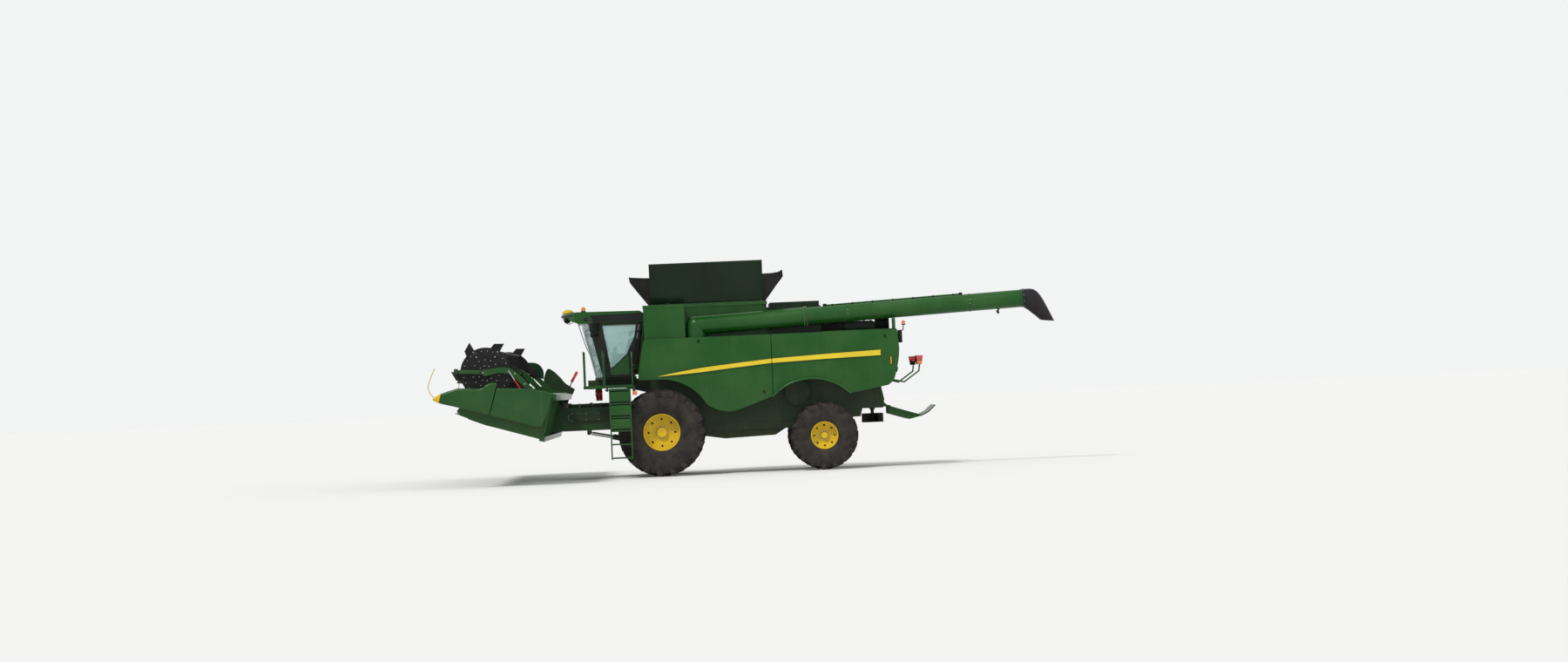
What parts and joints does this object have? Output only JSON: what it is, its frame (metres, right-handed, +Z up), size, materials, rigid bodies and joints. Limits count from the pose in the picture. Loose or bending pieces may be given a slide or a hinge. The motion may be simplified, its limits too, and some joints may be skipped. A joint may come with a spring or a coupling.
{
  "type": "combine harvester",
  "caption": "Self-propelled combine harvester with a raised wide grain header and pickup reel, open grain tank covers, long unloading auger and steered rear wheels.",
  "frame": {"origin": "middle of the machine's whole box, on the ground", "axes": "-X forward, -Y the machine's left side, +Z up"},
  "size_m": [14.6221, 11.14, 5.0078],
  "materials": {
    "green_paint": "gloss",
    "dark_paint": "satin",
    "black_plastic": "matte",
    "tyre": "matte",
    "yellow_paint": "gloss",
    "glass": "clear",
    "bright_steel": "satin",
    "cast": "matte",
    "red_paint": "gloss",
    "spout_rubber": "matte",
    "lamp_lens": "gloss",
    "seat_cloth": "matte"
  },
  "bodies": {
    "chassis": {"chassis_frame": "dark_paint", "rear_axle": "dark_paint", "threshing_body": "green_paint", "rear_hood": "green_paint", "engine_hood": "dark_paint", "engine_block": "cast", "grain_tank": "green_paint", "tank_wings": "black_plastic", "cab_frame": "black_plastic", "cab_glass": "glass", "cab_roof": "green_paint", "cab_interior": "seat_cloth", "mirrors": "black_plastic", "platform": "black_plastic", "lamps": "lamp_lens", "straw_chopper": "green_paint"},
    "cover_left": {"tank_cover_left": "dark_paint"},
    "cover_right": {"tank_cover_right": "dark_paint"},
    "side_front_left": {"shield_front_left": "green_paint"},
    "side_rear_left": {"shield_rear_left": "green_paint"},
    "side_front_right": {"shield_front_right": "green_paint"},
    "side_rear_right": {"shield_rear_right": "green_paint"},
    "door": {"cab_door": "green_paint", "cab_door_glass": "glass"},
    "steps": {"ladder": "black_plastic"},
    "header": {"feeder_house": "green_paint", "header_frame": "green_paint", "header_dividers": "green_paint", "cutterbar": "bright_steel"},
    "table_auger": {"header_auger": "bright_steel"},
    "reel_carrier": {"reel_arms": "green_paint"},
    "pickup_reel": {"reel": "black_plastic"},
    "lift_barrel_pair": {"lift_barrels": "green_paint"},
    "lift_rod_pair": {"lift_rods": "bright_steel"},
    "reel_barrel_pair": {"reel_barrels": "red_paint"},
    "reel_rod_pair": {"reel_rods": "bright_steel"},
    "wheel_front_left": {"tyre_front_left": "tyre", "rim_front_left": "yellow_paint"},
    "wheel_front_right": {"tyre_front_right": "tyre", "rim_front_right": "yellow_paint"},
    "steer_left": {"knuckle_left": "dark_paint"},
    "steer_right": {"knuckle_right": "dark_paint"},
    "track_rod": {"tie_rod": "bright_steel"},
    "wheel_rear_left": {"tyre_rear_left": "tyre", "rim_rear_left": "yellow_paint"},
    "wheel_rear_right": {"tyre_rear_right": "tyre", "rim_rear_right": "yellow_paint"},
    "unloader": {"unloader_tube": "green_paint", "unloader_spout": "spout_rubber"},
    "chaff_board": {"tailboard": "green_paint"},
    "spinner_left": {"spreader_left": "black_plastic"},
    "spinner_right": {"spreader_right": "black_plastic"}
  },
  "joints": [
    {"name": "header_lift", "type": "hinge", "parent": "chassis", "child": "header", "pos_m": [-2.4629, 0, 1.75], "axis": [0, 1, 0], "range_deg": [-22, 0]},
    {"name": "lift_barrel_swing", "type": "hinge", "parent": "chassis", "child": "lift_barrel_pair", "pos_m": [-2.2629, 0, 0.76], "axis": [0, 1, 0], "range_deg": [-18.3, 0.2]},
    {"name": "lift_rod_slide", "type": "slide", "parent": "lift_barrel_pair", "child": "lift_rod_pair", "axis": [-0.98, 0, 0.1991], "range_m": [-0.375, 0.001]},
    {"name": "auger_spin", "type": "hinge", "parent": "header", "child": "table_auger", "pos_m": [-5.18659, 0, 1.639], "axis": [0, 1, 0], "continuous": true},
    {"name": "reel_lift", "type": "hinge", "parent": "header", "child": "reel_carrier", "pos_m": [-5.00577, 0, 2.19661], "axis": [0, 1, 0], "range_deg": [-6, 20]},
    {"name": "reel_spin", "type": "hinge", "parent": "reel_carrier", "child": "pickup_reel", "pos_m": [-6.00022, 0, 2.58921], "axis": [0, 1, 0], "continuous": true},
    {"name": "reel_barrel_swing", "type": "hinge", "parent": "header", "child": "reel_barrel_pair", "pos_m": [-5.11452, 0, 1.9879], "axis": [0, 1, 0], "range_deg": [-5.1, 16.4]},
    {"name": "reel_rod_slide", "type": "slide", "parent": "reel_barrel_pair", "child": "reel_rod_pair", "axis": [-0.4987, 0, 0.8668], "range_m": [-0.021, 0.066]},
    {"name": "front_left_roll", "type": "hinge", "parent": "chassis", "child": "wheel_front_left", "pos_m": [-2.1129, -1.485, 1.04], "axis": [0, 1, 0], "continuous": true},
    {"name": "front_right_roll", "type": "hinge", "parent": "chassis", "child": "wheel_front_right", "pos_m": [-2.1129, 1.485, 1.04], "axis": [0, 1, 0], "continuous": true},
    {"name": "left_steering", "type": "hinge", "parent": "chassis", "child": "steer_left", "pos_m": [1.7171, -1.12, 0.81], "axis": [0, 0, 1], "range_deg": [-30, 30]},
    {"name": "right_steering", "type": "hinge", "parent": "chassis", "child": "steer_right", "pos_m": [1.7171, 1.12, 0.81], "axis": [0, 0, 1], "range_deg": [-30, 30]},
    {"name": "track_rod_swing", "type": "hinge", "parent": "steer_left", "child": "track_rod", "pos_m": [1.9371, -1.12, 0.79], "axis": [0, 0, 1], "range_deg": [-30, 30]},
    {"name": "rear_left_roll", "type": "hinge", "parent": "steer_left", "child": "wheel_rear_left", "pos_m": [1.7171, -1.48, 0.81], "axis": [0, 1, 0], "continuous": true},
    {"name": "rear_right_roll", "type": "hinge", "parent": "steer_right", "child": "wheel_rear_right", "pos_m": [1.7171, 1.48, 0.81], "axis": [0, 1, 0], "continuous": true},
    {"name": "unloader_swing", "type": "hinge", "parent": "chassis", "child": "unloader", "pos_m": [-1.2079, -1.205, 3.53], "axis": [0, 0, 1], "range_deg": [-95, 0]},
    {"name": "door_swing", "type": "hinge", "parent": "chassis", "child": "door", "pos_m": [-2.5529, -0.975, 3.035], "axis": [0, 0, 1], "range_deg": [0, 65]},
    {"name": "ladder_swing", "type": "hinge", "parent": "chassis", "child": "steps", "pos_m": [-3.3629, -1.55, 2.087], "axis": [0, 0, 1], "range_deg": [-90, 0]},
    {"name": "front_left_side_swing", "type": "hinge", "parent": "chassis", "child": "side_front_left", "pos_m": [-0.8629, -1.475, 3.2], "axis": [1, 0, 0], "range_deg": [-60, 0]},
    {"name": "rear_left_side_swing", "type": "hinge", "parent": "chassis", "child": "side_rear_left", "pos_m": [2.0371, -1.475, 3.2], "axis": [1, 0, 0], "range_deg": [-60, 0]},
    {"name": "left_cover_swing", "type": "hinge", "parent": "chassis", "child": "cover_left", "pos_m": [-0.9379, -1.215, 4.075], "axis": [1, 0, 0], "range_deg": [-123, 0]},
    {"name": "left_spinner_spin", "type": "hinge", "parent": "chassis", "child": "spinner_left", "pos_m": [2.9371, -0.33, 1.23], "axis": [0, 0, 1], "continuous": true},
    {"name": "front_right_side_swing", "type": "hinge", "parent": "chassis", "child": "side_front_right", "pos_m": [-0.8629, 1.475, 3.2], "axis": [1, 0, 0], "range_deg": [0, 60]},
    {"name": "rear_right_side_swing", "type": "hinge", "parent": "chassis", "child": "side_rear_right", "pos_m": [2.0371, 1.475, 3.2], "axis": [1, 0, 0], "range_deg": [0, 60]},
    {"name": "right_cover_swing", "type": "hinge", "parent": "chassis", "child": "cover_right", "pos_m": [-0.9379, 1.215, 4.075], "axis": [1, 0, 0], "range_deg": [0, 123]},
    {"name": "right_spinner_spin", "type": "hinge", "parent": "chassis", "child": "spinner_right", "pos_m": [2.9371, 0.33, 1.23], "axis": [0, 0, 1], "continuous": true},
    {"name": "chaff_board_tilt", "type": "hinge", "parent": "chassis", "child": "chaff_board", "pos_m": [3.2271, 0, 1.45], "axis": [0, 1, 0], "range_deg": [-30, 15]}
  ],
  "couplings": [
    {"joint": "lift_barrel_swing", "follows": "header_lift", "ratio": 0.81884},
    {"joint": "lift_rod_slide", "follows": "header_lift", "m_per_rad": 0.96957},
    {"joint": "reel_barrel_swing", "follows": "reel_lift", "ratio": 0.80418},
    {"joint": "reel_rod_slide", "follows": "reel_lift", "m_per_rad": 0.18422},
    {"joint": "right_steering", "follows": "left_steering", "ratio": 1},
    {"joint": "track_rod_swing", "follows": "left_steering", "ratio": -1}
  ]
}
